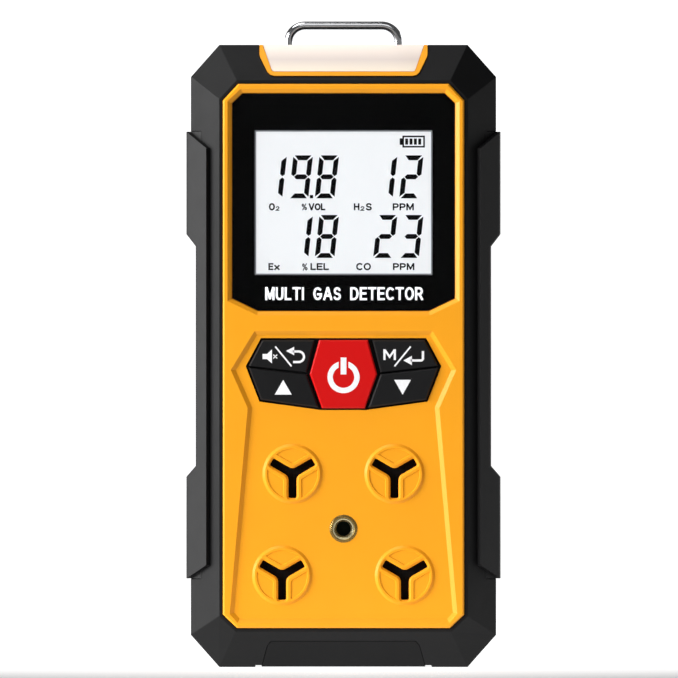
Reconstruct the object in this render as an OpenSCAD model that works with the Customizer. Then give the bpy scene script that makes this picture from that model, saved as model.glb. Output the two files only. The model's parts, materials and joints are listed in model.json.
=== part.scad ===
// Portable four-gas detector with a folding wire bail.
// Millimetres, +Z up. The front faces -Y. The origin is the middle of the base.

/* [Body] */
// Width across the plain sides
body_w = 68; // [67.5:0.5:69]
// Height without the bail
body_h = 138.6; // [138:0.2:142]
// Depth from the front panel to the back face
body_d = 33; // [33:0.5:36]
// Width and height cut off each corner of the front silhouette
corner = [6.35, 7.15]; // [5:0.05:8]
// Size of the chamfer round the back face
back_chamfer = 4.5; // [3.5:0.5:5]
// Thickness of the moulded walls of the front shell
shell_wall = 1.8; // [1.6:0.1:2]
// Thickness of the bumper at the sides
bumper_wall = 3.5; // [3.3:0.1:3.7]

/* [Front panel] */
// Width of the raised front panel
panel_w = 53.6; // [53:0.2:54]
// Height left between the base or the top and the panel
panel_margin = 8.84; // [8.5:0.02:9.2]
// Height of the panel's rim above the bumper
panel_proud = 0.8; // [0.6:0.1:1]
// Width of the flat land between the panel and the bumper's slopes
panel_land = 0.85; // [0.4:0.05:1]
// Depth of the recess in the lower panel
recess_d = 0.7; // [0.5:0.1:0.8]
// Width of the bevels round the recess and the window
bevel_w = 1; // [0.8:0.1:1.2]

/* [Grips] */
// Width across the swells of the side grips
grip_w = 70; // [69.5:0.5:71]
// Width across the waist of the side grips
waist_w = 65.8; // [65.5:0.1:66.5]
// Height that a grip's flange stands above the slope
grip_lift = 1.2; // [0.9:0.1:1.3]

/* [Sensors] */
// Diameter of a gas sensor
sensor_dia = 20; // [19.5:0.1:20.2]
// Height of a gas sensor's can
sensor_can_h = 14.5; // [14:0.1:14.8]
// Radius of a raised grille disc
grille_r = 6.7; // [6.3:0.1:6.9]
// Width of a grille's slots
slot_w = 1.8; // [1.6:0.1:2.1]

/* [Fittings] */
// Outside diameter of the knurled insert
insert_dia = 6.2; // [6:0.1:6.4]
// Bore diameter of the insert's M4 thread
insert_bore = 3.3; // [3.2:0.05:3.4]
// Diameter of the bail's wire
wire_dia = 2.1; // [1.8:0.1:2.1]
// Height that the bail stands above the body
bail_rise = 5.8; // [5:0.1:6]
// Travel of the keys
key_travel = 0.5; // [0.4:0.05:0.5]

/* [Hidden] */
$fn = 48;

front_y = -body_d / 2;
back_y = body_d / 2;
bumper_y = front_y + panel_proud;
slope_end_y = bumper_y + (body_w - panel_w) / 2 - panel_land;
recess_y = front_y + recess_d;
panel_back_y = front_y + 2.5;
shell_end_y = -0.5;
far = 100;
gap = 0.1;

silhouette = cut_rect(body_w / 2, 0, body_h, corner, corner);
panel = cut_rect(panel_w / 2, panel_margin, body_h - panel_margin, [3.15, 3.0], [3.4, 3.7]);
panel_hole = inset(panel, -0.12);
bumper_cavity = inset(silhouette, bumper_wall);
shell_skirt = inset(silhouette, bumper_wall + gap);
shell_cavity = inset(silhouette, bumper_wall + gap + shell_wall);

// Display window: wide at the top, with a slanted lower corner on each side
window_top = body_h - 10.9;
window = mirrored([[19, 79.3], [24.8, 82.1], [24.8, window_top - 2.2], [22.5, window_top]]);
window_t = 1.3;
gasket_t = 0.2;
window_y = recess_y;
window_hole = inset(window, 2.3);

// Recess that runs round the keypad and the sensor grilles
recess = mirrored([[23.3, 10.4], [24.8, 12.1], [20.8, 57.8], [24.5, 66.15], [19.5, 74.4]]);

// Keypad: a red hexagon between two pairs of black keys
key_gap = 0.16;
key_bevel = 0.3;
power_outline = mirrored([[4.9, 57.5], [7.65, 65.3], [5.55, 73]]);
mute_outline = [[-8.1, 65.42], [-6.2, 73], [-18.15, 73], [-21.35, 66.92]];
up_outline = [[-18.5, 59.4], [-5.25, 57.6], [-8.1, 65.42], [-21.35, 66.92]];
keypad_hole = inset(mirrored([[5, 57.4], [18.6, 59.25], [21.6, 67], [18.3, 73.15]]), -0.12);
key_base_y = -13;
key_posts = [[0, 65.3], [-13.4, 69.6], [13.4, 69.6], [-13.4, 62.2], [13.4, 62.2]];
key_post_r = 1.5;
switch_top_y = -10.2;

// Gas sensors, seen from the front: upper left, upper right, lower left, lower right
sensor_spots = [[-11.33, 43.1], [11.33, 43.1], [-13.64, 20.5], [13.64, 20.5]];
sensor_r = sensor_dia / 2;
sensor_front_y = -12.2;
sensor_back_y = sensor_front_y + sensor_can_h;
grille_h = 0.5;
grille_slope = 0.6;
slot_reach = 5.4;
slot_tip_r = 0.35;
slot_fillet_r = 1.5;
slot_bevel = 0.45;
petal_edge = 1.95;
insert_z = 30.9;
insert_len = 7.5;

// Boards, seen as thickness ranges along Y
board_t = 1.6;
main_board_y = -8;
sensor_board_y = 4;
board_top = 132.9;
main_posts = [[-24.6, 75.6], [24.6, 75.6], [-24.6, 126.2], [24.6, 126.2]];
sensor_posts = [[0, 51], [-8, 8.4], [8, 8.4]];
case_posts = [[-25.3, 10.6], [25.3, 10.6], [-25.9, 60], [25.9, 60], [-25.3, 131], [25.3, 131]];
screw_r = 1.25;
screw_head_r = 2.2;
board_screw_r = 0.9;

// Grips: half width of the body under them, and the offsets of its two 45 degree slopes
seat_x = 31.7;
front_s = body_w / 2 - slope_end_y;
back_s = body_w / 2 + back_y - back_chamfer;
grip_low = 19.7;
grip_high = 119.3;

// Display glass: half width, lowest and highest edge
lcd = [22, 84, 122.6];
buzzer_at = [0, 122.5];
motor_at = [-1.6, 60.5];
battery_size = [34, 8, 42];

// Alarm lens and the trim round it, drawn down from the top of the body
lens_trim = mirrored([[15.4, body_h - 7], [16.2, body_h - 6.8], [16.9, body_h - 6.15],
    [18.57, body_h - 2.7], [18.7, body_h - 2.1], [18.7, body_h + 1]]);
lens_face = mirrored([[15.45, body_h - 6], [15.85, body_h - 5.85], [16.05, body_h - 5.45],
    [17.87, body_h - 0.2], [17.9, body_h], [17.9, body_h + 1]]);
lens_hole = mirrored([[14.7, body_h - 4.8], [16.4, body_h + 1]]);
lens_t = 1.6;

// Bail, at rest standing up
wire_r = wire_dia / 2;
bail_half = 12.3;
bail_axis = [14.9, 129];
bail_top = body_h + bail_rise - wire_r;
bail_corner_r = 3.7;
bail_foot_r = 1.6;
bail_end_x = 19;
pocket_half = 15.5;
pocket_floor_y = 13.3;
pocket_bottom = 2 * bail_axis.y - bail_top - wire_r - 1.4;

// Port cover: a rubber flap over the charging socket, hinged behind it
flap_half = 18.3;
flap_top_half = 16.6;
flap_top = 5.9;
flap_t = 1.6;
flap_pin_r = 0.8;
flap_bead_r = 1.25;
flap_end_y = 6.6;
flap_axis = [8.6, 1.4];
hinge_half = 14.2;
groove_w = 1.35;

function unit(v) = v / norm(v);

// Point p turned about the origin by the angle a
function turned(p, a) = [p.x * cos(a) - p.y * sin(a), p.x * sin(a) + p.y * cos(a)];

// Full outline from the points of its right half, lowest point first
function mirrored(half) = concat(half, [for (i = [len(half) - 1:-1:0]) [-half[i].x, half[i].y]]);

// Rectangle with cut corners
function cut_rect(half, z0, z1, low, high) = mirrored([[half - low.x, z0], [half, z0 + low.y],
    [half, z1 - high.y], [half - high.x, z1]]);

// The points of an outline with the numbers listed
function pick(pts, numbers) = [for (i = numbers) pts[i]];

// Outline moved inwards by d along its whole length
function inset(pts, d) = let (n = len(pts)) [for (i = [0:n - 1]) let (
    u = unit(pts[i] - pts[(i + n - 1) % n]), v = unit(pts[(i + 1) % n] - pts[i]),
    sum = [-u.y - v.y, u.x + v.x]) pts[i] + sum * d / (1 + u * v)];

// Points of an arc
function arc(centre, r, a0, a1, steps = 5) = [for (i = [0:steps])
    let (a = a0 + (a1 - a0) * i / steps) centre + r * [cos(a), sin(a)]];

// Extrudes an outline drawn in x and z from y0 to y1
module slab(y0, y1) translate([0, y1, 0]) rotate([90, 0, 0]) linear_extrude(y1 - y0) children();

// Solid between outline a at y = ya and outline b at y = yb
module loft(a, ya, b, yb) {
    n = len(a);
    points = concat([for (p = a) [p.x, ya, p.y]], [for (p = b) [p.x, yb, p.y]]);
    ends = [[for (i = [n - 1:-1:0]) i], [for (i = [0:n - 1]) n + i]];
    low = [for (i = [0:n - 1]) [i, (i + 1) % n, n + (i + 1) % n]];
    high = [for (i = [0:n - 1]) [i, n + (i + 1) % n, n + i]];
    polyhedron(points, concat(ends, low, high), convexity = 6);
}

// Cylinder along Y from y0 to y1 at the point p in x and z
module rod(p, r, y0, y1, r_end = undef)
    translate([p.x, y0, p.y]) rotate([-90, 0, 0])
        cylinder(r1 = r, r2 = is_undef(r_end) ? r : r_end, h = y1 - y0);

// Cylinder along X from x0 to x1 at the point p in y and z
module axle(p, r, x0, x1) translate([x0, p.x, p.y]) rotate([0, 90, 0]) cylinder(r = r, h = x1 - x0);

// Box from corner a to corner b
module block(a, b) translate(a) cube(b - a);

// Sloped and straight part of the body's front half, moved by lift towards -Y
module front_form(lift = 0) {
    loft(inset(panel, -panel_land), bumper_y - lift, silhouette, slope_end_y - lift);
    slab(slope_end_y - lift, far) polygon(silhouette);
}

// Body of the back half, with the chamfer round the back face
module back_form() {
    slab(0, back_y - back_chamfer) polygon(silhouette);
    loft(silhouette, back_y - back_chamfer, inset(silhouette, back_chamfer), back_y);
}

// Raised disc of a grille, with a sloped rim
module grille_disc() rod([0, 0], grille_r - grille_slope, recess_y - grille_h, recess_y, grille_r);

// Outline of three slots that meet, with filleted inner corners and rounded tips
function slot_outline(grow) = let (h = slot_w / 2 + grow, reach = slot_reach + grow,
    tip = slot_tip_r + grow, fillet = slot_fillet_r - grow)
    [for (a = [-90, 30, 150]) each concat(
        arc(turned([reach - tip, tip - h], a), tip, a - 90, a, 3),
        arc(turned([reach - tip, h - tip], a), tip, a, a + 90, 3),
        arc(turned([(h + fillet) / sin(60), 0], a + 60), fillet, a + 270, a + 210, 4))];

// Sunk petal between the slots at the angles a and a + 120
function petal(a) = let (r = grille_r - 1.05, spread = 60 - asin(petal_edge / r), round = 0.6) concat(
    arc([0, 0], r, a + 60 - spread, a + 60 + spread, 6),
    arc(turned([(petal_edge + round) / sin(60), 0], a + 60), round, a + 210, a + 270, 3));

// Sunk petals and slots of one grille
module grille_cuts() {
    top = recess_y - grille_h;
    for (a = [-90, 30, 150]) loft(inset(petal(a), -0.05), top - 0.01, inset(petal(a), 0.1), top + 0.2);
    loft(slot_outline(slot_bevel), top - 0.01, slot_outline(0), top + slot_bevel);
    slab(top, panel_back_y + 1) polygon(slot_outline(0));
}

// Lens of thickness t, standing out of the slope by lift and up to the height top
module lens_form(t, outline, lift, top) intersection() {
    slab(front_y - 1, shell_end_y) polygon(outline);
    difference() {
        front_form(lift);
        translate([0, t, -t]) front_form();
    }
    block([-far, front_y, 0], [far, far, top]);
}

// Space for the lens in the shell and its trim
module lens_seat() {
    lens_form(lens_t + 0.06, inset(lens_face, -0.06), 3, body_h);
    slab(front_y, far) difference() {
        polygon(inset(lens_face, -0.06));
        translate([-far, -lens_t]) square([far * 2, body_h]);
    }
}

module front_shell() color("orange") {
    difference() {
        union() {
            loft(inset(panel, 0.35), front_y, panel, front_y + 0.35);
            slab(front_y + 0.35, panel_back_y + 0.6) polygon(panel);
            loft(panel, panel_back_y + 0.6, shell_skirt, -9.5);
            slab(-9.5, shell_end_y) polygon(shell_skirt);
            intersection() {
                slab(front_y, shell_end_y) polygon(lens_trim);
                front_form(0.35);
                block([-far, front_y, 0], [far, far, body_h]);
            }
        }
        difference() {
            union() {
                slab(panel_back_y, -12.5) polygon(inset(panel, 1.6));
                loft(inset(panel, 1.6), -12.5, shell_cavity, -8.6);
                slab(-8.6, far) polygon(shell_cavity);
            }
            slab(front_y, panel_back_y + 1.3) polygon(inset(window, -0.4));
            for (p = case_posts) rod(p, 3, front_y, shell_end_y);
            for (p = main_posts) rod(p, 2.1, front_y, main_board_y);
            for (p = sensor_posts) rod(p, 2.1, front_y, sensor_board_y);
            rod([0, insert_z], insert_dia / 2 + 1.6, front_y, recess_y + insert_len - 1);
        }
        loft(inset(window, -bevel_w), front_y - 0.01, inset(window, -0.08), window_y);
        slab(window_y - 0.01, window_y + window_t + gasket_t) polygon(inset(window, -0.08));
        slab(front_y, -12) polygon(window_hole);
        difference() {
            for (half = [[0, 1, 2, 7, 8, 9], [2, 3, 4, 5, 6, 7]])
                loft(pick(inset(recess, -bevel_w / 2), half), front_y - 0.01,
                    pick(inset(recess, bevel_w / 2), half), recess_y);
            for (p = sensor_spots) translate([p.x, 0, p.y]) grille_disc();
        }
        slab(front_y, panel_back_y + 1) polygon(keypad_hole);
        for (p = sensor_spots) translate([p.x, 0, p.y]) grille_cuts();
        rod([0, insert_z], insert_dia / 2, front_y, recess_y + insert_len);
        lens_seat();
        slab(-11, far) polygon(lens_hole);
        for (p = case_posts) rod(p, screw_r + 0.02, -11, far);
        for (p = main_posts) rod(p, board_screw_r + 0.02, -12, far);
        for (p = sensor_posts) rod(p, board_screw_r + 0.02, -3, far);
    }
    difference() {
        intersection() {
            slab(-9.6, shell_end_y) polygon(lens_trim);
            slab(-9.6, shell_end_y) polygon(inset(silhouette, 0.02));
        }
        slab(-11, far) polygon(lens_hole);
        lens_seat();
        block([-far, -20, 0], [far, far, body_h - bumper_wall - gap]);
    }
}

module bumper_frame() color("#26272a") difference() {
    intersection() {
        front_form();
        slab(front_y, 0) polygon(silhouette);
    }
    slab(front_y - 1, -13) polygon(panel_hole);
    loft(panel_hole, -13.5, bumper_cavity, -9.6);
    slab(-9.6, far) polygon(bumper_cavity);
    slab(front_y - 1, far) polygon(inset(lens_trim, -0.08));
    grip_pockets();
    flap_pocket();
}

module rear_cover() color("#222326") {
    difference() {
        back_form();
        difference() {
            slab(-1, pocket_floor_y - 2) polygon(rear_cavity());
            for (p = case_posts) rod(p, 3.2, -1, far);
            for (s = [-1, 1]) block([s * 18.5 - 4, 9.5, 125], [s * 18.5 + 4, far, 133.5]);
            block([-flap_half - 4, 6.2, 0], [flap_half + 4, far, 4.2]);
        }
        difference() {
            slab(pocket_floor_y - 3, back_y - 2.2) polygon(inset(rear_cavity(), 1.5));
            for (p = case_posts) rod(p, 3.2, -1, far);
            block([-pocket_half - 7, 0, pocket_bottom - 2.2], [pocket_half + 7, far, far * 2]);
        }
        slab(-1, 0.35) difference() {
            polygon(inset(silhouette, bumper_wall + 0.02));
            polygon(inset(silhouette, bumper_wall + 1.6));
        }
        block([-pocket_half, pocket_floor_y, pocket_bottom], [pocket_half, far, far * 2]);
        for (s = [-1, 1]) axle(bail_axis, wire_r + 0.05, min(s * 15, s * 19.3), max(s * 15, s * 19.3));
        grip_pockets();
        flap_pocket();
        block([-4.8, 0.2, -1], [4.8, 4, 8]);
        for (p = case_posts) {
            rod(p, screw_r + 0.1, -2, far);
            rod(p, screw_head_r + 0.2, back_y - 2.6, far);
        }
        slab(back_y - 0.35, far) polygon(label_outline(0));
        for (i = [-2:2]) block([-6, back_y - 4, 103.5 + i * 2.4], [6, far, 104.6 + i * 2.4]);
    }
}

function rear_cavity() = inset(silhouette, bumper_wall + gap + shell_wall - 0.4);

function label_outline(d) = inset(mirrored([[17.5, 28], [19.5, 30], [19.5, 90], [17.5, 92]]), d);

// Section, in x and y, of one side of the body under a grip, grown by d
function grip_seat(d) = [[24, 24 - front_s - d], [seat_x + d, seat_x - front_s - d],
    [seat_x + d, back_s - seat_x], [24, back_s - 24 + d]];

module grip_pockets() for (s = [0, 1]) mirror([s, 0, 0])
    block([seat_x, -far, grip_low], [far, far, grip_high]);

// Section of a grip in x and y: raised slope, rounded edges and straight side
function grip_section(outer) = let (r = 1.3, s = front_s + grip_lift * sqrt(2), q = back_s + 1.1,
    x = outer - r) concat([[27, 27 - s]], arc([x, x - s + r * sqrt(2)], r, -45, 0),
    arc([x, q - x - r * sqrt(2)], r, 0, 45), [[30.8, q - 30.8], [27.2, q - 34.4]]);

// Distance along the front slope to the half width x
function along_slope(x) = (2 * x - front_s) / sqrt(2);

// Part of a grip between two heights, from one half width to another
module grip_stretch(z0, outer0, z1, outer1) {
    a = grip_section(outer0);
    b = grip_section(outer1);
    n = len(a);
    points = concat([for (p = a) [p.x, p.y, z0]], [for (p = b) [p.x, p.y, z1]]);
    ends = [[for (i = [0:n - 1]) i], [for (i = [n - 1:-1:0]) n + i]];
    low = [for (i = [0:n - 1]) [(i + 1) % n, i, n + i]];
    high = [for (i = [0:n - 1]) [(i + 1) % n, n + i, n + (i + 1) % n]];
    polyhedron(points, concat(ends, low, high), convexity = 6);
}

// Right-hand grip: swells at both ends, waist between them, slanted ends on the slope
module side_grip() color("#2d2e31") difference() {
    union() {
        intersection() {
            grip_stretches();
            rotate([0, 0, 45]) slab(-far, far) polygon([
                [along_slope(29.7), grip_low + 3.1], [along_slope(34.2), grip_low], [far, grip_low],
                [far, grip_high], [along_slope(34.2), grip_high], [along_slope(29.7), grip_high - 3.8]]);
        }
        intersection() {
            grip_stretches();
            front_form();
        }
    }
    translate([0, 0, -1]) linear_extrude(body_h) polygon(grip_seat(0.05));
}

module grip_stretches() {
    swell = grip_w / 2;
    waist = waist_w / 2;
    grip_stretch(grip_low + 0.05, swell, 42.4, swell);
    grip_stretch(42.4, swell, 44.8, waist);
    grip_stretch(44.8, waist, 93.7, waist);
    grip_stretch(93.7, waist, 96.4, swell);
    grip_stretch(96.4, swell, grip_high - 0.05, swell);
}

module side_grip_right() side_grip();
module side_grip_left() mirror([1, 0, 0]) side_grip();

module display_window() color("#0a0a0c")
    slab(window_y, window_y + window_t - 0.02) polygon(inset(window, 0));

module window_gasket() color("#17181a") slab(window_y + window_t, window_y + window_t + gasket_t - 0.02)
    difference() {
        polygon(inset(window, 0.1));
        polygon(inset(window, 2.3));
    }

module lcd_panel() color("whitesmoke") {
    block([-lcd.x, -13.9, lcd.y], [lcd.x, -12.8, lcd.z]);
    block([-lcd.x, -12.8, lcd.y + 2.4], [lcd.x, -11.7, lcd.z]);
}

module lcd_backlight() color("white") difference() {
    block([-lcd.x, -11.6, lcd.y + 2.4], [lcd.x, -8.1, lcd.z]);
    for (x = [-12, 0, 12]) block([x - 1.6, -12, lcd.z - 1.6], [x + 1.6, -8, lcd.z + 1]);
}

module lcd_connectors() color("silver") for (i = [-9:9])
    block([i * 2 - 0.25, -12.75, lcd.y + 0.5], [i * 2 + 0.25, -8.05, lcd.y + 1]);

module alarm_lens() color("#f7e3da") lens_form(lens_t, lens_face, 0.25, body_h);

module alarm_leds() color("ivory") for (x = [-9, 0, 9]) {
    block([x - 1.6, -9.2, 128.6], [x + 1.6, main_board_y, 131.2]);
    rod([x, 129.9], 0.9, -9.9, -9.2);
}

// Key cap over its outline, with a bevelled top and a post down to its switch
module key_cap(outline, post) {
    top = inset(outline, key_gap);
    loft(inset(top, key_bevel), front_y, top, front_y + key_bevel);
    slab(front_y + key_bevel, key_base_y) polygon(top);
    rod(post, key_post_r, key_base_y - 0.1, switch_top_y - key_travel - 0.08);
}

module power_key() color("#d71c1c") key_cap(power_outline, key_posts[0]);
module mute_key() color("#1d1e20") key_cap(mute_outline, key_posts[1]);
module mode_key() color("#1d1e20") mirror([1, 0, 0]) key_cap(mute_outline, key_posts[1]);
module up_key() color("#1d1e20") key_cap(up_outline, key_posts[3]);
module down_key() color("#1d1e20") mirror([1, 0, 0]) key_cap(up_outline, key_posts[3]);

module keypad_membrane() color("#1a1a1c") difference() {
    slab(-12.35, -11.55) polygon(inset(keypad_hole, -1.6));
    for (p = key_posts) rod(p, key_post_r + 0.4, -13, -11);
}

module key_switches() color("silver") for (p = key_posts) {
    block([p.x - 2.25, -9.6, p.y - 2.25], [p.x + 2.25, main_board_y, p.y + 2.25]);
    rod(p, 1, switch_top_y, -9.6);
}

module board(y, low, high) difference() {
    block([-26.6, y, low], [26.6, y + board_t, high]);
    for (p = concat(main_posts, sensor_posts)) rod(p, board_screw_r + 0.15, y - 1, y + board_t + 1);
    for (p = case_posts) rod(p, 3.4, y - 1, y + board_t + 1);
    for (s = [-1, 1]) block([s * 26.6 - 2.6, y - 1, high - 2.6], [s * 26.6 + 2.6, y + 3, high + 1]);
}

module main_board() color("darkgreen") board(main_board_y, 56, board_top);

module sensor_board() color("darkgreen") difference() {
    board(sensor_board_y, 7, 53.6);
    for (p = sensor_spots) for (a = [90, 210, 330])
        rod(p + 6.5 * [cos(a), sin(a)], 0.85, 3, 6);
}

// Electrochemical cell: can, rim, inlet membrane and three pins
module gas_sensor(p, tint) color(tint) {
    difference() {
        rod(p, sensor_r, sensor_front_y, sensor_back_y);
        rod(p, 5, sensor_front_y - 1, sensor_front_y + 0.6);
    }
    for (a = [90, 210, 330])
        rod(p + 6.5 * [cos(a), sin(a)], 0.75, sensor_back_y - 0.1, sensor_board_y + board_t + 0.6);
}

module oxygen_sensor() gas_sensor(sensor_spots[0], "gainsboro");
module hydrogen_sulfide_sensor() gas_sensor(sensor_spots[1], "whitesmoke");
module combustible_sensor() gas_sensor(sensor_spots[2], "silver");
module carbon_monoxide_sensor() gas_sensor(sensor_spots[3], "white");

module sensor_gaskets() color("#202022") for (p = sensor_spots) difference() {
    rod(p, 9, -13.25, sensor_front_y);
    rod(p, 6.2, -14, sensor_front_y + 1);
}

module dust_filters() color("#0d0d0f") for (p = sensor_spots) rod(p, 8.5, panel_back_y + 0.05, -13.3);

module threaded_insert() color("goldenrod") difference() {
    rod([0, insert_z], insert_dia / 2, recess_y, recess_y + insert_len);
    rod([0, insert_z], insert_bore / 2, front_y - 1, 0);
    rod([0, insert_z], 2.1, recess_y - 0.01, recess_y + 0.46, insert_bore / 2);
}

module buzzer() color("#202020") difference() {
    rod(buzzer_at, 6, main_board_y + board_t, 1.4);
    rod(buzzer_at, 1.2, 0.4, 2);
}

module vibration_motor() color("silver") difference() {
    axle(motor_at, 3, -12, -1);
    axle(motor_at, 0.55, -4, 0);
}

// Eccentric weight on its shaft
module motor_weight() color("dimgray") {
    axle(motor_at, 0.5, -3.5, 3.6);
    difference() {
        axle(motor_at, 2.8, -0.5, 3.5);
        block([-1, motor_at.x - 4, motor_at.y + 0.4], [4, motor_at.x + 4, motor_at.y + 4]);
    }
}

module battery() color("steelblue") translate([0, 5.6, 89]) {
    cube([battery_size.x - 4, battery_size.y, battery_size.z], center = true);
    for (s = [-1, 1]) translate([s * (battery_size.x / 2 - 2), 0, 0])
        cube([4, battery_size.y - 1.4, battery_size.z - 0.8], center = true);
}

module battery_pad() color("#333335") block([-12, 9.65, 74], [12, 14.25, 82]);

// Flat cable between the two boards
module ribbon_cable() color("ivory") {
    block([-21, -5.2, 54.6], [-15, -5, 57.4]);
    block([-21, -5.2, 54.6], [-15, 7, 54.8]);
    block([-21, 6.8, 51], [-15, 7, 54.8]);
}

module ribbon_sockets() color("ivory") {
    block([-22, main_board_y + board_t, 57.45], [-14, -4.2, 61]);
    block([-22, sensor_board_y + board_t, 47.4], [-14, 7.8, 50.95]);
}

module usb_socket() color("silver") difference() {
    block([-4.5, 0.6, 3], [4.5, sensor_board_y, 10.6]);
    block([-4.1, 1, 2], [4.1, 3.6, 9.6]);
}

// Rubber flap: sloped front, bottom plate and a bead with a pin at each end
module port_cover() color("#1f2022") {
    intersection() {
        difference() {
            front_form();
            translate([0, 1.05, 0.8]) front_form();
            translate([0, 0, -far]) cube([far * 2, 60, 1], center = true);
        }
        slab(front_y, slope_end_y + 0.8) polygon(flap_face(0.1));
        block([-far, front_y, 0.1], [far, far, 20]);
    }
    block([-flap_half + 0.1, slope_end_y + 0.1, 0.1], [flap_half - 0.1, flap_end_y, flap_t - 0.1]);
    block([-14, flap_end_y - 1, 0.2], [14, flap_axis.x, flap_t - 0.1]);
    axle(flap_axis, flap_bead_r, -14, 14);
    axle(flap_axis, flap_pin_r, -16, 16);
}

function flap_face(d) = mirrored([[flap_half - d, -1], [flap_half - d, 0], [flap_top_half - d + 0.35, 4.9],
    [flap_top_half - d - 0.5, flap_top - d]]);

// Space for the flap, its hinge and the two grooves beside it
module flap_pocket() {
    intersection() {
        slab(front_y, slope_end_y + 3) polygon(flap_face(0));
        difference() {
            translate([0, -1, 0]) front_form();
            translate([0, 1.1, 0.85]) front_form();
        }
    }
    block([-flap_half, slope_end_y, -1], [flap_half, flap_end_y + 0.7, flap_t]);
    block([-hinge_half, slope_end_y, -1], [hinge_half, flap_axis.x, flap_t]);
    axle(flap_axis, flap_bead_r + 0.15, -hinge_half, hinge_half);
    block([-hinge_half, flap_axis.x - flap_bead_r - 0.15, -1],
        [hinge_half, flap_axis.x + flap_bead_r + 0.15, flap_axis.y]);
    axle(flap_axis, flap_pin_r + 0.05, -16.2, 16.2);
    for (s = [-1, 1]) block([s * (flap_half + groove_w / 2) - groove_w / 2, front_y, -1],
        [s * (flap_half + groove_w / 2) + groove_w / 2, flap_end_y + 0.7, 0.6]);
}

module housing_seal() color("#3a3a3c") slab(shell_end_y, 0.33) difference() {
    polygon(inset(silhouette, bumper_wall + 0.15));
    polygon(inset(silhouette, bumper_wall + 1.4));
}

module case_screws() color("#8a8a8c") for (p = case_posts) difference() {
    union() {
        rod(p, screw_head_r, back_y - 2.55, back_y - 0.9);
        rod(p, screw_r, -9, back_y - 2.5);
    }
    rod(p, 1.4, back_y - 2, back_y, 1.4, $fn = 6);
}

module board_screws() color("silver") {
    for (p = main_posts) board_screw(p, main_board_y + board_t);
    for (p = sensor_posts) board_screw(p, sensor_board_y + board_t);
}

module board_screw(p, y) difference() {
    union() {
        rod(p, 1.8, y + 0.02, y + 1.3);
        rod(p, board_screw_r, y - 5, y + 0.1);
    }
    rod(p, 0.8, y + 0.6, y + 2);
}

// One wire: turned-out ends in the cover's bores, two legs and a top bar
module wire_bail() color("silver") {
    leg_low = bail_axis.y + bail_foot_r;
    leg_high = bail_top - bail_corner_r;
    translate([0, bail_axis.x, 0]) for (s = [0, 1]) mirror([s, 0, 0]) {
        translate([bail_half, 0, leg_low]) cylinder(r = wire_r, h = leg_high - leg_low);
        translate([bail_half - bail_corner_r, 0, leg_high]) rotate([90, 0, 0])
            rotate_extrude(angle = 90) translate([bail_corner_r, 0]) circle(wire_r);
        translate([bail_half + bail_foot_r, 0, leg_low]) rotate([90, 180, 0])
            rotate_extrude(angle = 90) translate([bail_foot_r, 0]) circle(wire_r);
        axle([0, bail_axis.y], wire_r, bail_half + bail_foot_r, bail_end_x);
    }
    axle([bail_axis.x, bail_top], wire_r, bail_corner_r - bail_half, bail_half - bail_corner_r);
}

module rear_label() color("lightgray") slab(back_y - 0.33, back_y - 0.05) polygon(label_outline(0.15));

front_shell();
bumper_frame();
rear_cover();
side_grip_left();
side_grip_right();
display_window();
window_gasket();
lcd_panel();
lcd_backlight();
lcd_connectors();
alarm_lens();
alarm_leds();
power_key();
mute_key();
mode_key();
up_key();
down_key();
keypad_membrane();
key_switches();
main_board();
sensor_board();
oxygen_sensor();
hydrogen_sulfide_sensor();
combustible_sensor();
carbon_monoxide_sensor();
sensor_gaskets();
dust_filters();
threaded_insert();
buzzer();
vibration_motor();
motor_weight();
battery();
battery_pad();
ribbon_cable();
ribbon_sockets();
usb_socket();
port_cover();
housing_seal();
case_screws();
board_screws();
wire_bail();
rear_label();
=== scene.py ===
"""Looks of the portable gas detector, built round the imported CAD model."""

import json
import math

import bpy
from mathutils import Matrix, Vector
from mathutils.geometry import tessellate_polygon


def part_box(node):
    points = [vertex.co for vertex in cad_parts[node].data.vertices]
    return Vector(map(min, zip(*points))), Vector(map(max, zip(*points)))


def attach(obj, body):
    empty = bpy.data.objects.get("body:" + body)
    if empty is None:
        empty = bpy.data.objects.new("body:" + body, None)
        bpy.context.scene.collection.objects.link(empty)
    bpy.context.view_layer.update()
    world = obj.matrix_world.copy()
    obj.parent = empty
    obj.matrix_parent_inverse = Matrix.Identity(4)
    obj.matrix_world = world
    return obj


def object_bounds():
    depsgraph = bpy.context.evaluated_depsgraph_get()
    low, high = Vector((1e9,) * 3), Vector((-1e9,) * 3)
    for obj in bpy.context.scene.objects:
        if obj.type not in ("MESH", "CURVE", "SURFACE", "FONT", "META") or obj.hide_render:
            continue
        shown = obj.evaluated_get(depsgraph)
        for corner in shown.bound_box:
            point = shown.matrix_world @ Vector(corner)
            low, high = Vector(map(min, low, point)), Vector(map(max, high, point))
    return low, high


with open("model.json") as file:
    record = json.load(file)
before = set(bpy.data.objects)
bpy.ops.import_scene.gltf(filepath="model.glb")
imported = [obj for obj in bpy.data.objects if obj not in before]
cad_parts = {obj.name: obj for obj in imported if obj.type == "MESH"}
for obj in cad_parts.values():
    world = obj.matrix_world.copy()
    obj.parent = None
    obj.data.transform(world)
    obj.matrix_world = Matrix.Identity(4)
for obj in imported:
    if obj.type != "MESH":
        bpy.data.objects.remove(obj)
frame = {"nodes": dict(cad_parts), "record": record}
CAD_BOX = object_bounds()
NODES = frame["nodes"]
MM = 0.001
SCENE = bpy.context.scene

# ---------------------------------------------------------------- camera

# The photo shows no perspective, so the camera looks square on from far away.
VIEW_WIDTH = 150.67 * MM
VIEW_CENTRE = Vector((-1.0 * MM, CAD_BOX[0].y, 73.07 * MM))
LENS = 700
SENSOR = 36

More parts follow.
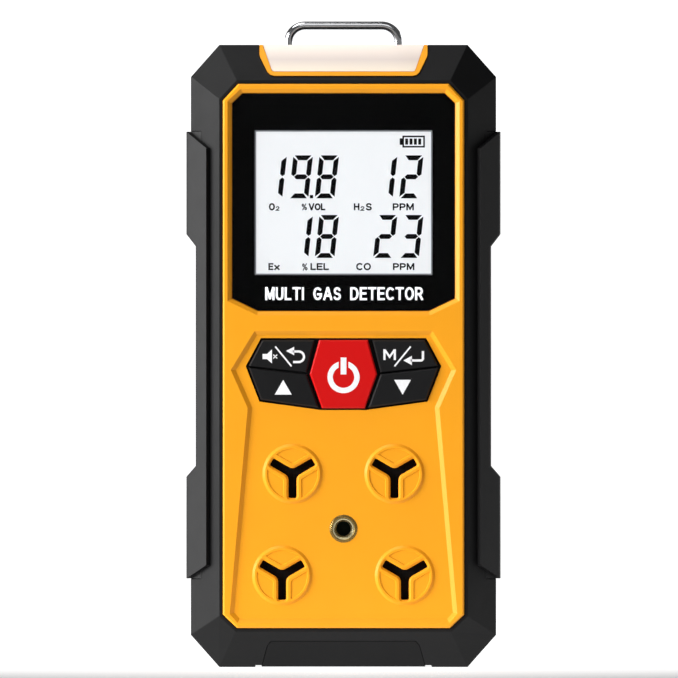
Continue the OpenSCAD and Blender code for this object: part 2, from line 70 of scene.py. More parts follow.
camera_data = bpy.data.cameras.new("camera")
camera_data.lens = LENS
camera_data.sensor_width = SENSOR
camera_data.clip_start = 0.1
camera_data.clip_end = 50
camera = bpy.data.objects.new("camera", camera_data)
camera.location = VIEW_CENTRE - Vector((0, VIEW_WIDTH * LENS / SENSOR, 0))
camera.rotation_euler = (math.radians(90), 0, 0)
SCENE.collection.objects.link(camera)
SCENE.camera = camera
SCENE.view_settings.view_transform = "Standard"
SCENE.view_settings.look = "None"


# ---------------------------------------------------------------- materials

# Short names of the shader's sockets, where they differ from the socket's own name
SOCKETS = {
    "ior": "IOR", "colour": "Base Color", "specular": "Specular IOR Level",
    "transmission": "Transmission Weight", "coat": "Coat Weight",
    "subsurface": "Subsurface Weight", "emission": "Emission Color", "glow": "Emission Strength",
}
NOISE_ROUGHNESS = 0.55


class Tree:
    """A material being built: a Principled shader and the nodes that feed it."""

    def __init__(self, name):
        self.material = bpy.data.materials.new(name)
        self.material.use_nodes = True
        self.nodes = self.material.node_tree.nodes
        self.links = self.material.node_tree.links
        self.shader = self.nodes["Principled BSDF"]
        self.coords = self.add("ShaderNodeTexCoord").outputs["Object"]
        self.normal = None

    def add(self, kind, **values):
        """A node with its properties, and with its inputs set or linked by name."""
        made = self.nodes.new(kind)
        for key, value in values.items():
            if hasattr(made, key):
                setattr(made, key, value)
            else:
                self.feed(made.inputs[key.replace("_", " ").title()], value)
        return made

    def feed(self, socket, value):
        if isinstance(value, bpy.types.NodeSocket):
            self.links.new(value, socket)
        else:
            socket.default_value = value

    def set(self, **values):
        """Sets or links sockets of the shader, named in lower case with underscores."""
        for key, value in values.items():
            self.feed(self.shader.inputs[SOCKETS.get(key, key.replace("_", " ").title())], value)

    def noise(self, scale, detail, stretch=None):
        coords = self.coords
        if stretch:
            coords = self.add("ShaderNodeMapping", vector=coords, scale=stretch).outputs[0]
        found = self.add("ShaderNodeTexNoise", vector=coords)
        found.inputs["Scale"].default_value = scale
        found.inputs["Detail"].default_value = detail
        found.inputs["Roughness"].default_value = NOISE_ROUGHNESS
        return found.outputs["Fac"]

    def cells(self, scale, randomness):
        found = self.add("ShaderNodeTexVoronoi", vector=self.coords)
        found.inputs["Scale"].default_value = scale
        found.inputs["Randomness"].default_value = randomness
        return found.outputs["Distance"]

    def spread(self, value, low, high, start=0.3, end=0.7):
        """A value that follows another between low and high."""
        found = self.add("ShaderNodeMapRange")
        for key, number in (("From Min", start), ("From Max", end),
                            ("To Min", low), ("To Max", high)):
            found.inputs[key].default_value = number
        self.links.new(value, found.inputs["Value"])
        return found.outputs[0]

    def ramp(self, value, *stops):
        """A colour ramp through (position, colour) stops."""
        found = self.add("ShaderNodeValToRGB")
        elements = found.color_ramp.elements
        while len(elements) < len(stops):
            elements.new(0.5)
        for element, (position, colour) in zip(elements, stops):
            element.position = position
            element.color = (*colour, 1)
        self.links.new(value, found.inputs["Fac"])
        return found.outputs["Color"]

    def bump(self, height, distance, strength):
        """Adds relief of that depth in metres to what the material already has."""
        found = self.add("ShaderNodeBump")
        found.inputs["Strength"].default_value = strength
        found.inputs["Distance"].default_value = distance
        self.links.new(height, found.inputs["Height"])
        if self.normal:
            self.links.new(self.normal, found.inputs["Normal"])
        self.normal = found.outputs["Normal"]
        self.links.new(self.normal, self.shader.inputs["Normal"])


def srgb(r, g, b):
    """Linear colour of an 8-bit display colour."""
    return tuple((v / 12.92 if v <= 0.04045 else ((v + 0.055) / 1.055) ** 2.4)
                 for v in (r / 255, g / 255, b / 255))


def scaled(colour, factor):
    return tuple(min(1.0, c * factor) for c in colour)


def moulded(name, colour, rough, grain=2600, depth=0.02, vary=0.08, specular=0.5):
    """Moulded plastic or rubber: fine spark-eroded grain, faint mottling, uneven polish."""
    tree = Tree(name)
    patch = tree.noise(45, 3)
    low, high = scaled(colour, 1 - vary), scaled(colour, 1 + vary)
    tree.set(colour=tree.ramp(patch, (0.3, low), (0.7, high)),
             roughness=tree.spread(tree.noise(220, 5), rough - 0.04, rough + 0.04),
             specular=specular)
    tree.bump(tree.noise(grain, 2), depth * MM, 0.5)
    tree.bump(tree.noise(90, 2), 0.02 * MM, 0.3)
    return tree.material


def metal(name, colour, rough, stretch=(1, 1, 1), scale=900, depth=0.006, vary=0.06):
    """Drawn, plated or turned metal with fine marks along one direction."""
    tree = Tree(name)
    marks = tree.noise(scale, 3, stretch)
    tree.set(metallic=1.0, roughness=tree.spread(marks, rough * 0.7, rough * 1.3),
             colour=tree.ramp(tree.noise(120, 4), (0.3, scaled(colour, 1 - vary)), (0.7, colour)))
    tree.bump(marks, depth * MM, 0.4)
    return tree.material


def printed(name, colour, rough=0.45, glow=0.0, specular=0.4):
    """Opaque ink with a slightly uneven film."""
    tree = Tree(name)
    tree.set(colour=tree.ramp(tree.noise(1500, 3), (0.3, scaled(colour, 0.93)), (0.7, colour)),
             roughness=tree.spread(tree.noise(700, 2), rough - 0.05, rough + 0.05),
             specular=specular)
    if glow:
        tree.set(emission=(*colour, 1), glow=glow)
    tree.bump(tree.noise(1800, 2), 0.004 * MM, 0.4)
    return tree.material


def circuit(name):
    """Green solder mask over copper tracks, with a scatter of pads."""
    tree = Tree(name)
    tracks = tree.add("ShaderNodeTexBrick", vector=tree.coords)
    tracks.inputs["Scale"].default_value = 260
    tracks.inputs["Mortar Size"].default_value = 0.06
    tracks.inputs["Color1"].default_value = (*srgb(16, 84, 48), 1)
    tracks.inputs["Color2"].default_value = (*srgb(20, 98, 58), 1)
    tracks.inputs["Mortar"].default_value = (*srgb(38, 128, 74), 1)
    pads = tree.cells(420, randomness=0.85)
    blend = tree.add("ShaderNodeMix", data_type="RGBA")
    tree.links.new(tree.spread(pads, 1, 0, 0.10, 0.14), blend.inputs["Factor"])
    tree.links.new(tracks.outputs["Color"], blend.inputs["A"])
    blend.inputs["B"].default_value = (*srgb(206, 198, 168), 1)
    tree.set(colour=blend.outputs["Result"],
             roughness=tree.spread(tree.noise(300, 3), 0.25, 0.4))
    tree.bump(tracks.outputs["Fac"], 0.02 * MM, 0.5)
    return tree.material


def clear_glass(name):
    tree = Tree(name)
    tree.set(colour=(0.98, 0.99, 1, 1), transmission=1.0, ior=1.2, specular=0.2,
             roughness=tree.spread(tree.noise(60, 3), 0.015, 0.04))
    return tree.material


LENS_LOW, LENS_HIGH = (corner.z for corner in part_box("alarm_lens"))


def translucent(name):
    """Frosted lens: warm white with painted light and shade by height, and a faint painted glow
    though it is not lit.
    """
    tree = Tree(name)
    height = tree.add("ShaderNodeSeparateXYZ")
    tree.links.new(tree.coords, height.inputs[0])
    depth = tree.spread(height.outputs["Z"], 0.0, 1.0, LENS_LOW, LENS_HIGH)
    # Painted light by height: a painted highlight along the bottom edge, painted shade halfway up,
    # a lighter top. The emission is a painted glow on the unlit lens.
    tree.set(colour=tree.ramp(depth, (0.0, srgb(236, 222, 200)), (0.45, srgb(208, 193, 184)),
                              (1.0, srgb(246, 233, 221))),
             roughness=tree.spread(tree.noise(900, 3), 0.3, 0.34), subsurface=0.3,
             emission=(1, 0.93, 0.87, 1), glow=0.12, coat=0.3)
    tree.shader.inputs["Subsurface Radius"].default_value = (0.9, 0.7, 0.6)
    tree.shader.inputs["Subsurface Scale"].default_value = 2 * MM
    tree.bump(tree.noise(1600, 2), 0.01 * MM, 0.3)
    return tree.material


def mesh_cloth(name):
    """Fine woven dust filter seen behind the grille slots."""
    tree = Tree(name)
    holes = tree.cells(1400, randomness=0.1)
    tree.set(colour=tree.ramp(holes, (0.25, (0.0005,) * 3), (0.6, (0.003,) * 3)),
             roughness=tree.spread(holes, 0.9, 0.7), specular=0.1)
    tree.bump(holes, 0.06 * MM, 0.7)
    return tree.material


YELLOW = srgb(250, 166, 30)
BLACK = srgb(14, 14, 15)
MATERIALS = {
    "yellow_plastic": moulded("yellow_plastic", YELLOW, 0.36,
                              grain=3200, depth=0.012, vary=0.03, specular=0.25),
    "black_bumper": moulded("black_bumper", BLACK, 0.5, grain=2800, depth=0.014, specular=0.24),
    "black_cover": moulded("black_cover", BLACK, 0.5, grain=2400, depth=0.02, specular=0.3),
    "grip_rubber": moulded("grip_rubber", srgb(19, 19, 20), 0.48,
                           grain=2200, depth=0.02, specular=0.3),
    "window": clear_glass("window"),
    "window_mask": printed("window_mask", srgb(1, 1, 2), 0.5, specular=0.0),
    "gasket": printed("gasket", srgb(4, 4, 5), 0.6, specular=0.05),
    "lcd": printed("lcd", srgb(150, 151, 152), 0.4, glow=2.4, specular=0.05),
    "lcd_ink": printed("lcd_ink", srgb(8, 8, 9), 0.4, specular=0.05),
    # Grey, dimly glowing ring round the view area: painted shade at the edge of the window's
    # opening.
    "lcd_edge_shade": printed("lcd_edge_shade", srgb(120, 122, 126), 0.4, glow=0.6, specular=0.05),
    "white_ink": printed("white_ink", srgb(250, 250, 252), 0.4),
    "label_ink": printed("label_ink", srgb(34, 35, 38), 0.5),
    # The caption's white print glows: painted light, standing in for the light that the glass keeps
    # from it.
    "caption_ink": printed("caption_ink", srgb(244, 244, 246), 0.4, glow=0.75),
    "alarm_lens": translucent("alarm_lens"),
    "red_key": moulded("red_key", srgb(208, 12, 12), 0.34,
                       grain=3200, depth=0.01, vary=0.03, specular=0.25),
    "black_key": moulded("black_key", srgb(24, 24, 25), 0.36,
                         grain=3000, depth=0.012, specular=0.2),
    "membrane": moulded("membrane", srgb(34, 34, 36), 0.6, depth=0.03),
    "flap_rubber": moulded("flap_rubber", srgb(12, 12, 13), 0.5,
                           grain=2400, depth=0.02, specular=0.2),
    "foam": moulded("foam", srgb(52, 52, 55), 0.9, grain=900, depth=0.12),
    "backlight": printed("backlight", srgb(238, 240, 242), 0.5),
    "buzzer": moulded("buzzer", srgb(32, 32, 33), 0.45, depth=0.03),
    "sensor_can": moulded("sensor_can", srgb(226, 226, 222), 0.4, depth=0.02, vary=0.05),
    "ribbon": moulded("ribbon", srgb(232, 226, 206), 0.5, grain=1400, depth=0.02, vary=0.06),
    "battery": moulded("battery", srgb(96, 122, 150), 0.35, grain=1200, depth=0.015, vary=0.08),
    "led": moulded("led", srgb(240, 236, 214), 0.3, grain=1800, depth=0.01),
    "circuit_board": circuit("circuit_board"),
    "filter": mesh_cloth("filter"),
    "contact_metal": metal("contact_metal", srgb(205, 205, 208), 0.28),
    "steel_can": metal("steel_can", srgb(196, 197, 200), 0.3, (1, 20, 1)),
    "brass": metal("brass", srgb(178, 150, 88), 0.3, (1, 20, 1), vary=0.15),
    # A lighter copy of the brass for the insert's mouth: painted light where the mouth catches the
    # lamps.
    "brass_painted_light": metal("brass_painted_light", srgb(226, 212, 166), 0.26, (1, 20, 1), vary=0.06),
    "bail_steel": metal("bail_steel", srgb(238, 239, 242), 0.13, (6, 1, 1), scale=500, depth=0.003),
    "screw_steel": metal("screw_steel", srgb(150, 151, 155), 0.3, (20, 1, 1)),
    "weight_metal": metal("weight_metal", srgb(120, 118, 116), 0.4, (1, 20, 20)),
    "label": printed("label", srgb(206, 208, 210), 0.45),
}


for part in frame["record"]["subparts"]:
    node = NODES[part["node"]]
    node.data.materials.clear()
    node.data.materials.append(MATERIALS[part["material_slot"]])


# ---------------------------------------------------------------- softened edges of the CAD nodes

EDGE_SEGMENTS = 2
SHARP_ANGLE = 28


def soften(node, width):
    """Rounds the sharp edges of a CAD node by that width in millimetres."""
    item = NODES[node]
    weld = item.modifiers.new("weld", "WELD")
    weld.merge_threshold = 0.001 * MM
    bevel = item.modifiers.new("soft edges", "BEVEL")
    bevel.width = width * MM
    bevel.segments = EDGE_SEGMENTS
    bevel.limit_method = "ANGLE"
    bevel.angle_limit = math.radians(SHARP_ANGLE)
    bevel.use_clamp_overlap = True
    bevel.miter_outer = "MITER_ARC"
    shading = item.modifiers.new("shading", "WEIGHTED_NORMAL")
    shading.keep_sharp = True
    shading.weight = 80


for name, width in (("bumper_frame", 0.25), ("side_grip_left", 0.3), ("side_grip_right", 0.3),
                    ("power_key", 0.08), ("mute_key", 0.08), ("mode_key", 0.08), ("up_key", 0.08),
                    ("down_key", 0.08), ("alarm_lens", 0.5)):
    soften(name, width)


# ---------------------------------------------------------------- small flat pieces

def outline(points):
    """Full outline, in mm, from the points of its right half."""
    return points + [(-x, z) for x, z in reversed(points)]


def inset(points, d):
    """Outline moved inwards by d along its whole length; points run anticlockwise."""
    found = []
    for i, p in enumerate(points):
        before, here = Vector(points[i - 1]), Vector(p)
        after = Vector(points[(i + 1) % len(points)])
        u, v = (here - before).normalized(), (after - here).normalized()
        moved = here + Vector((-u.y - v.y, u.x + v.x)) * d / (1 + u.dot(v))
        found.append((moved.x, moved.y))
    return found


def box_outline(x0, z0, x1, z1):
    return [(x0, z0), (x1, z0), (x1, z1), (x0, z1)]


def arc(cx, cz, rx, rz, start, end, steps=10):
    """Points of an elliptical arc, its angles in degrees."""
    angles = [math.radians(start + (end - start) * i / steps) for i in range(steps + 1)]
    return [(cx + rx * math.cos(angle), cz + rz * math.sin(angle)) for angle in angles]


def signed_area(loop):
    """Twice the area of a loop, positive when its points run anticlockwise."""
    return sum(loop[i - 1][0] * loop[i][1] - loop[i][0] * loop[i - 1][1] for i in range(len(loop)))


def stroke(points, width):
    """Outline of a line of that width through the points, with square ends."""
    left, right = [], []
    for i, p in enumerate(points):
        here = Vector(p)
        before = Vector(points[i - 1]) if i else here
        after = Vector(points[i + 1]) if i + 1 < len(points) else here
        u = (here - before).normalized() if i else (after - here).normalized()
        v = (after - here).normalized() if i + 1 < len(points) else u
        side = Vector((-u.y - v.y, u.x + v.x)) / (1 + u.dot(v)) * width / 2
        left.append(tuple(here + side))
        right.append(tuple(here - side))
    return right + left[::-1]


def add_mesh(name, vertices, faces, body, material):
    mesh = bpy.data.meshes.new(name)
    mesh.from_pydata(vertices, [], faces)
    mesh.validate()
    mesh.update()
    mesh.materials.append(MATERIALS[material])
    made = bpy.data.objects.new(name, mesh)
    SCENE.collection.objects.link(made)
    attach(made, body)
    return made


def plates(name, polygons, front, back, body, material):
    """Flat plates in the front plane, from y = front to y = back, in mm.
    A polygon is a list of loops, the first one its outside and the others its holes."""
    vertices, faces = [], []
    for loops in polygons:
        base, count = len(vertices), sum(len(loop) for loop in loops)
        flat = [p for loop in loops for p in loop]
        vertices += [(x * MM, front * MM, z * MM) for x, z in flat]
        vertices += [(x * MM, back * MM, z * MM) for x, z in flat]
        rings = [[Vector((x, z, 0)) for x, z in loop] for loop in loops]
        for a, b, c in tessellate_polygon(rings):
            (ax, az), (bx, bz), (cx, cz) = flat[a], flat[b], flat[c]
            if (bx - ax) * (cz - az) - (bz - az) * (cx - ax) < 0:
                b, c = c, b
            faces += [(base + a, base + b, base + c),
                      (base + count + a, base + count + c, base + count + b)]
        start = base
        for k, loop in enumerate(loops):
            n, anticlockwise = len(loop), signed_area(loop) > 0
            for i in range(n):
                p, q = start + i, start + (i + 1) % n
                if anticlockwise != (k == 0):
                    p, q = q, p
                faces.append((q, p, count + p, count + q))
            start += n
    return add_mesh(name, vertices, faces, body, material)


# Each letter is its width and its strokes, drawn 1 high along the middle of the pen's line.
LETTERS = {
    "A": (0.78, [[(0, 0), (0.36, 1)], [(0.42, 1), (0.78, 0)], [(0.14, 0.32), (0.64, 0.32)]]),
    "C": (0.72, [arc(0.39, 0.5, 0.39, 0.5, 52, 308)]),
    "D": (0.70, [[(0, 0), (0, 1), (0.3, 1)] + arc(0.3, 0.5, 0.4, 0.5, 90, -90)[1:] + [(0, 0)]]),
    "E": (0.58, [[(0.58, 1), (0, 1), (0, 0), (0.58, 0)], [(0, 0.52), (0.52, 0.52)]]),
    "G": (0.76, [arc(0.39, 0.5, 0.39, 0.5, 48, 330) + [(0.76, 0.44), (0.42, 0.44)]]),
    "H": (0.66, [[(0, 0), (0, 1)], [(0.66, 0), (0.66, 1)], [(0, 0.52), (0.66, 0.52)]]),
    "I": (0.0, [[(0, 0), (0, 1)]]),
    "L": (0.52, [[(0, 1), (0, 0), (0.52, 0)]]),
    "M": (0.8, [[(0, 0), (0, 1)], [(0.04, 1), (0.4, 0.1)], [(0.4, 0.1), (0.76, 1)],
                [(0.8, 1), (0.8, 0)]]),
    "N": (0.66, [[(0, 0), (0, 1)], [(0, 1), (0.66, 0)], [(0.66, 0), (0.66, 1)]]),
    "O": (0.78, [arc(0.39, 0.5, 0.39, 0.5, 0, 360, 20)]),
    "P": (0.6, [[(0, 0), (0, 1)],
                [(0, 1), (0.34, 1)] + arc(0.34, 0.72, 0.26, 0.28, 90, -90)[1:] + [(0, 0.44)]]),
    "R": (0.66, [[(0, 0), (0, 1)],
                 [(0, 1), (0.36, 1)] + arc(0.36, 0.73, 0.26, 0.27, 90, -90)[1:] + [(0, 0.46)],
                 [(0.36, 0.44), (0.66, 0)]]),
    "S": (0.6, [arc(0.3, 0.745, 0.27, 0.255, 25, 270) + arc(0.3, 0.245, 0.3, 0.245, 90, -155)[1:]]),
    "T": (0.68, [[(0, 1), (0.68, 1)], [(0.34, 1), (0.34, 0)]]),
    "U": (0.64, [[(0, 1), (0, 0.32)] + arc(0.32, 0.32, 0.32, 0.32, 180, 360)[1:] + [(0.64, 1)]]),
    "V": (0.74, [[(0, 1), (0.34, 0)], [(0.4, 0), (0.74, 1)]]),
    "X": (0.62, [[(0, 0), (0.62, 1)], [(0, 1), (0.62, 0)]]),
    "2": (0.56, [arc(0.28, 0.72, 0.28, 0.28, 165, -35) + [(0, 0), (0.56, 0)]]),
    "%": (0.8, [arc(0.14, 0.78, 0.14, 0.2, 0, 360, 12), arc(0.66, 0.22, 0.14, 0.2, 0, 360, 12),
                [(0.12, 0), (0.68, 1)]]),
}


WORD_GAP = 0.55


def word(text, x0, x1, z0, z1, pen, spacing=0.3):
    """Outlines of generic lettering fitted between x0 and x1, with its pen's width in mm."""
    height = z1 - z0 - pen
    width = sum(WORD_GAP if c == " " else LETTERS[c][0] for c in text) + spacing * (len(text) - 1)
    across = (x1 - x0 - pen) / width
    x, found = x0 + pen / 2, []
    for c in text:
        if c == " ":
            x += (WORD_GAP + spacing) * across
            continue
        wide, lines = LETTERS[c]
        for line in lines:
            spots = [(x + px * across, z0 + pen / 2 + pz * height) for px, pz in line]
            closed = len(spots) > 2 and math.dist(spots[0], spots[-1]) < 1e-6
            if closed:
                ring = spots[:-1]
                if signed_area(ring) < 0:
                    ring.reverse()
                found.append([inset(ring, -pen / 2), inset(ring, pen / 2)])
            else:
                found.append([stroke(extend(spots, pen / 2), pen)])
        x += (wide + spacing) * across
    return found


def extend(points, by):
    """A line with both ends made longer, so that its square ends reach the letter's edge."""
    first, second = Vector(points[0]), Vector(points[1])
    last, before = Vector(points[-1]), Vector(points[-2])
    return ([tuple(first + (first - second).normalized() * by)] + list(points[1:-1])
            + [tuple(last + (last - before).normalized() * by)])


# ---------------------------------------------------------------- display

GLASS_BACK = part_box("display_window")[1].y / MM
LCD_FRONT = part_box("lcd_panel")[0].y / MM
VIEW_HALF, VIEW_LOW, VIEW_HIGH = 19.75, 87.3, 119.5
EDGE_OUT, EDGE_IN = 0.5, 0.32
WINDOW = outline([(19, 79.3), (24.8, 82.1), (24.8, 125.5), (22.5, 127.7)])

view_area = box_outline(-VIEW_HALF, VIEW_LOW, VIEW_HALF, VIEW_HIGH)
plates("window_print", [[inset(WINDOW, 0.06), view_area]], GLASS_BACK + 0.013, GLASS_BACK + 0.018,
       "housing", "window_mask")
# A grey band round the edge of the opening, just in front of the display: painted shade of the
# mask's edge.
plates("display_edge_shade", [[inset(view_area, -EDGE_OUT), inset(view_area, EDGE_IN)]],
       LCD_FRONT - 0.06, LCD_FRONT - 0.02, "housing", "lcd_edge_shade")


def lcd_print(name, polygons):
    """Dark segments just in front of the display panel."""
    return plates(name, polygons, LCD_FRONT - 0.05, LCD_FRONT - 0.01, "housing", "lcd_ink")


DIGIT_W, DIGIT_H, BAR, GAP, SLANT, PITCH = 4.37, 9.55, 1.08, 0.13, 0.11, 5.8
SEGMENTS = {"1": "bc", "2": "abged", "3": "abgcd", "8": "abcdefg", "9": "abcdfg"}


def digit_bars(figure, x, z):
    """Loops of one slanted seven-segment figure, its lower left corner at x, z."""
    w, h, t, g, m = DIGIT_W, DIGIT_H, BAR, GAP, DIGIT_H / 2
    e = t / 2
    shapes = {
        "a": [(g + 0.2, h), (w - g - 0.2, h), (w - t - g, h - t), (t + g, h - t)],
        "f": [(0, h - 0.35), (t, h - t - g), (t, m + e + g), (e, m + g), (0, m + e)],
        "b": [(w, h - 0.35), (w - t, h - t - g), (w - t, m + e + g), (w - e, m + g), (w, m + e)],
        "g": [(e + g, m), (t + g, m + e), (w - t - g, m + e),
              (w - e - g, m), (w - t - g, m - e), (t + g, m - e)],
    }
    shapes["d"] = [(p, h - q) for p, q in shapes["a"]]
    shapes["e"] = [(p, h - q) for p, q in shapes["f"]]
    shapes["c"] = [(p, h - q) for p, q in shapes["b"]]
    return [[[(x + p + q * SLANT, z + q) for p, q in shapes[s]]] for s in SEGMENTS[figure]]


UPPER_ROW, LOWER_ROW = 104.36, 91.1
LEFT_ONES, RIGHT_ONES = -6.4, 12.38

bars = []
for figures, ones_x, low in (("198", LEFT_ONES, UPPER_ROW), ("12", RIGHT_ONES, UPPER_ROW),
                             ("18", LEFT_ONES, LOWER_ROW), ("23", RIGHT_ONES, LOWER_ROW)):
    for place, figure in enumerate(reversed(figures)):
        bars += digit_bars(figure, ones_x - PITCH * place, low)
decimal_point = box_outline(-7.5, UPPER_ROW, -6.75, 105.1)
bars.append([decimal_point])
lcd_print("display_figures", bars)

CAPTION_PEN, UNIT_PEN, SMALL_PEN = 0.47, 0.34, 0.22
# Printed caption behind the glass; its ink carries a painted glow.
plates("window_caption",
       word("MULTI GAS DETECTOR", -17.4, 17.7, 81.7, 84.6, CAPTION_PEN, spacing=0.36),
       GLASS_BACK + 0.003, GLASS_BACK + 0.009, "housing", "caption_ink")
units = []
for text, x0, x1, low, high in (
        ("O", -16.6, -15.25, 101.65, 103.3), ("2", -15.05, -14.25, 101.6, 102.6),
        ("%", -9.3, -8.15, 101.7, 103.2), ("VOL", -7.75, -4.05, 101.7, 103.25),
        ("H", 2.3, 3.55, 101.7, 103.25), ("2", 3.8, 4.65, 101.6, 102.6),
        ("S", 4.95, 6.3, 101.65, 103.3),
        ("PPM", 10.95, 15.65, 101.7, 103.25),
        ("E", -16.7, -15.6, 88.4, 89.95), ("X", -15.4, -14.2, 88.4, 89.55),
        ("%", -9.2, -8.0, 88.3, 89.9), ("LEL", -7.35, -3.25, 88.4, 89.95),
        ("CO", 2.8, 6.1, 88.35, 90.0), ("PPM", 11.0, 15.75, 88.4, 89.95)):
    units += word(text, x0, x1, low, high, SMALL_PEN if text in "2%" else UNIT_PEN)
lcd_print("display_units", units)

cell = box_outline(13.1, 115.65, 18.1, 118.3)
battery_bars = [[box_outline(13.72 + 0.97 * i, 116.3, 14.37 + 0.97 * i, 117.65)]
                for i in range(4)]
cell_tip = box_outline(12.5, 116.25, 13.1, 117.7)
lcd_print("display_battery_sign", [[cell, inset(cell, 0.36)], [cell_tip]] + battery_bars)


# ---------------------------------------------------------------- key symbols

KEY_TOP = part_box("power_key")[0].y / MM
PRINT = 0.03
POWER_Z = 64.6


def key_print(name, polygons, body):
    return plates(name, polygons, KEY_TOP - PRINT, KEY_TOP + 0.02, body, "white_ink")


ring = (arc(0, POWER_Z, 3.57, 3.57, 107.6, 432.4, 48)
        + arc(0, POWER_Z, 2.38, 2.38, 423, 117, 48))
key_print("power_symbol", [[ring], [box_outline(-0.64, 65.2, 0.64, 68.95)]], "power_button")
key_print("up_symbol", [[[(-15.3, 60.7), (-11.5, 60.7), (-13.4, 64.0)]]], "up_button")
key_print("down_symbol", [[[(11.25, 64.0), (13.13, 60.7), (15.0, 64.0)]]], "down_button")
speaker = [(-18.0, 68.6), (-17.0, 68.6), (-15.9, 67.65),
           (-15.9, 70.75), (-17.0, 69.75), (-18.0, 69.75)]
cross = [[stroke([(-15.6, 68.75), (-14.75, 69.6)], 0.24)],
         [stroke([(-15.6, 69.6), (-14.75, 68.75)], 0.24)]]
mute_slash = stroke([(-15.17, 71.4), (-11.55, 67.0)], 0.36)
hook = stroke([(-11.3, 70.3)] + arc(-9.95, 69.13, 1.17, 1.17, 90, -90, 12) + [(-11.2, 67.96)], 0.5)
hook_head = [(-12.78, 70.42), (-10.97, 69.46), (-10.97, 71.33)]
key_print("mute_symbol", [[speaker]] + cross + [[mute_slash], [hook], [hook_head]], "mute_button")
letter_m = [(8.85, 68.4), (9.35, 68.4), (9.35, 70.0), (10.25, 68.7), (11.15, 70.0), (11.15, 68.4),
            (11.65, 68.4), (11.65, 70.8), (11.15, 70.8), (10.25, 69.5), (9.35, 70.8), (8.85, 70.8)]
enter = stroke([(14.9, 68.3)] + arc(17.2, 68.75, 0.45, 0.45, -90, 0, 5) + [(17.65, 70.4)], 0.52)
enter_head = [(13.3, 68.3), (15.2, 67.25), (15.2, 69.35)]
mode_slash = stroke([(14.93, 71.4), (11.33, 67.0)], 0.36)
key_print("mode_symbol", [[letter_m], [mode_slash], [enter], [enter_head]], "mode_button")


# ---------------------------------------------------------------- rear label

LABEL_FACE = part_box("rear_label")[1].y / MM
LABEL_HALF, ROW_HEIGHT, ROW_PEN = 15, 2.6, 0.42


def seen_from_behind(shapes):
    """Shapes mirrored, so that they read the right way round from behind."""
    return [[[(-x, z) for x, z in reversed(loop)] for loop in shape] for shape in shapes]


label_print = word("MULTI GAS DETECTOR", -LABEL_HALF, LABEL_HALF, 83.5, 86.3, 0.5, spacing=0.36)
for low, gas, unit in ((73.5, "O2", "%VOL"), (63.5, "H2S", "PPM"),
                       (53.5, "EX", "%LEL"), (43.5, "CO", "PPM")):
    label_print += word(gas, -14.5, -14.5 + 2.5 * len(gas), low, low + ROW_HEIGHT, ROW_PEN)
    label_print += word(unit, 6.5, 14.5, low, low + ROW_HEIGHT, ROW_PEN)
    label_print.append([box_outline(-LABEL_HALF, low - 3.2, LABEL_HALF, low - 2.95)])
label_print.append([box_outline(-LABEL_HALF, 79.8, LABEL_HALF, 80.3)])
plates("label_print", seen_from_behind(label_print), LABEL_FACE - 0.02, LABEL_FACE + 0.02,
       "housing", "label_ink")


# ---------------------------------------------------------------- insert

INSERT_Z = 30.9
INSERT = (0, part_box("threaded_insert")[0].y / MM, INSERT_Z)


def turned(name, profile, steps, body, material, wave=None):
    """Ring turned about the insert's axis from a closed profile of (radius, y) in mm.
    wave(step) is added to the radius of the points that carry a third value."""
    vertices, faces = [], []
    n = len(profile)
    for i in range(steps):
        angle = math.tau * i / steps
        for radius, y, *mark in profile:
            r = radius + (wave(i) if wave and mark else 0)
            vertices.append(((INSERT[0] + r * math.cos(angle)) * MM, (INSERT[1] + y) * MM,
                             (INSERT[2] + r * math.sin(angle)) * MM))
    for i in range(steps):
        for k in range(n):
            a, b = i * n + k, i * n + (k + 1) % n
            c, d = ((i + 1) % steps) * n + (k + 1) % n, ((i + 1) % steps) * n + k
            faces.append((a, b, c, d))
    return add_mesh(name, vertices, faces, body, material)


TEETH, TOOTH_DEPTH = 40, 0.22
turned("insert_knurl", [(3.06, 0.05, 1), (3.06, -0.1, 1), (2.9, -0.2, 1),
                        (2.5, -0.2), (2.42, -0.12), (2.42, 0.05)],
       TEETH * 4, "housing", "brass",
       wave=lambda step: -TOOTH_DEPTH if step % 4 in (0, 3) else 0.0)
# The mouth of the bore, in the lighter copy of the brass: painted light.
turned("insert_mouth", [(2.42, 0.05), (2.42, -0.1), (2.2, -0.14), (2.0, -0.08),
                        (1.62, 0.42), (1.62, 0.6), (1.7, 0.6), (2.15, 0.05)],
       96, "housing", "brass_painted_light")


# ---------------------------------------------------------------- floor, light

STAGE_R, COVE_R, WALL_H = 4.0, 0.4, 0.9
FLOOR_GAP = 0.01 * MM
# The stage glows behind the object and fades towards the camera, later at the sides.
FRONT_GLOW, BACK_GLOW = 0.12, 1.0
FADE_FROM, FADE_TO, SIDE_FADE = -0.15, 0.0, -0.25
WORLD = 0.07
BODY_MIDDLE = (0, 0, 0.07)


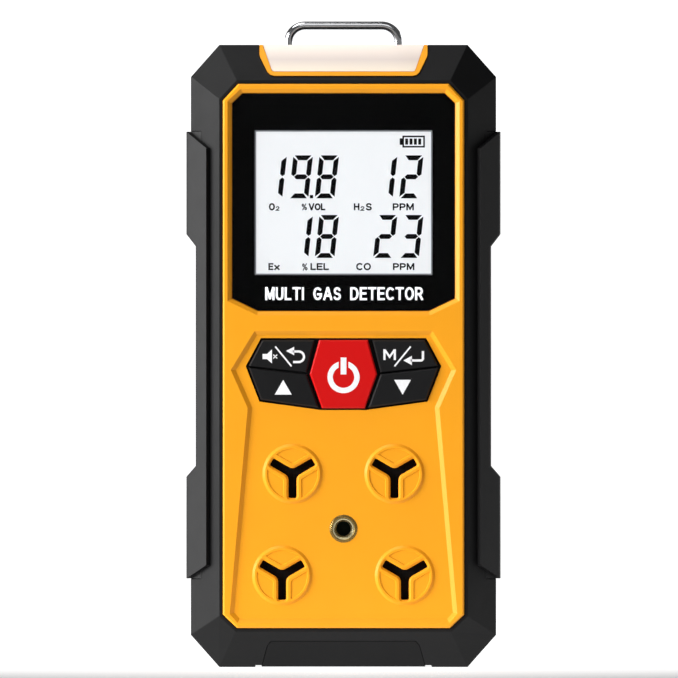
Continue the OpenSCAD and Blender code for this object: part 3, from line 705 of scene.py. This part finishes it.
def stage_set():
    """Pale floor that curves up all round into a low pale wall."""
    profile = [(0.0, 0.0), (STAGE_R / 4, 0.0), (STAGE_R - COVE_R, 0.0)]
    profile += [(STAGE_R - COVE_R + COVE_R * math.sin(math.radians(a)),
                 COVE_R - COVE_R * math.cos(math.radians(a))) for a in range(10, 91, 10)]
    profile.append((STAGE_R, WALL_H))
    steps, n = 96, len(profile)
    vertices = [(r * math.cos(math.tau * i / steps), r * math.sin(math.tau * i / steps),
                 z - FLOOR_GAP) for i in range(steps) for r, z in profile]
    faces = []
    for i in range(steps):
        here, after = i * n, ((i + 1) % steps) * n
        faces += [(here + k, after + k, after + k + 1, here + k + 1) for k in range(n - 1)]
    mesh = bpy.data.meshes.new("floor")
    mesh.from_pydata(vertices, [], faces)
    mesh.validate()
    for polygon in mesh.polygons:
        polygon.use_smooth = True
    tree = Tree("floor")
    place = tree.add("ShaderNodeSeparateXYZ")
    tree.links.new(tree.coords, place.inputs[0])
    sideways = tree.add("ShaderNodeMath", operation="ABSOLUTE")
    tree.links.new(place.outputs["X"], sideways.inputs[0])
    behind = tree.add("ShaderNodeMath", operation="MULTIPLY_ADD")
    tree.links.new(sideways.outputs[0], behind.inputs[0])
    behind.inputs[1].default_value = SIDE_FADE
    tree.links.new(place.outputs["Y"], behind.inputs[2])
    glow = tree.spread(behind.outputs[0], FRONT_GLOW, BACK_GLOW, FADE_FROM, FADE_TO)
    tree.set(colour=(0.4, 0.4, 0.4, 1), roughness=0.9, specular=0.05,
             emission=(1, 1, 1, 1), glow=glow)
    mesh.materials.append(tree.material)
    made = bpy.data.objects.new("floor", mesh)
    SCENE.collection.objects.link(made)


def softbox(name, spot, target, width, height, radiance):
    """Area light that faces the target, with its brightness as radiance."""
    data = bpy.data.lights.new(name, "AREA")
    data.shape = "RECTANGLE"
    data.size, data.size_y = width, height
    data.energy = radiance * math.pi * width * height
    made = bpy.data.objects.new(name, data)
    made.location = spot
    made.rotation_euler = (Vector(target) - Vector(spot)).to_track_quat("-Z", "Y").to_euler()
    made.visible_camera = False
    SCENE.collection.objects.link(made)


def surroundings():
    """Dim even white light from all round."""
    world = bpy.data.worlds.new("studio")
    world.use_nodes = True
    nodes = world.node_tree.nodes
    nodes["Background"].inputs["Color"].default_value = (1, 1, 1, 1)
    nodes["Background"].inputs["Strength"].default_value = WORLD
    SCENE.world = world


stage_set()
surroundings()
softbox("key", (-1.0, -0.62, 0.22), BODY_MIDDLE, 0.7, 0.7, 13.0)
softbox("left", (-0.9, -0.15, 0.1), BODY_MIDDLE, 0.5, 1.1, 4.0)
softbox("top", (-0.25, -0.1, 0.75), (-0.1, 0, 0.1), 0.4, 0.4, 3.5)
softbox("fill", (0.1, -1.1, 0.95), BODY_MIDDLE, 0.7, 0.6, 1.1)
softbox("rim", (0.8, 0.75, 0.2), BODY_MIDDLE, 0.3, 0.7, 3.0)
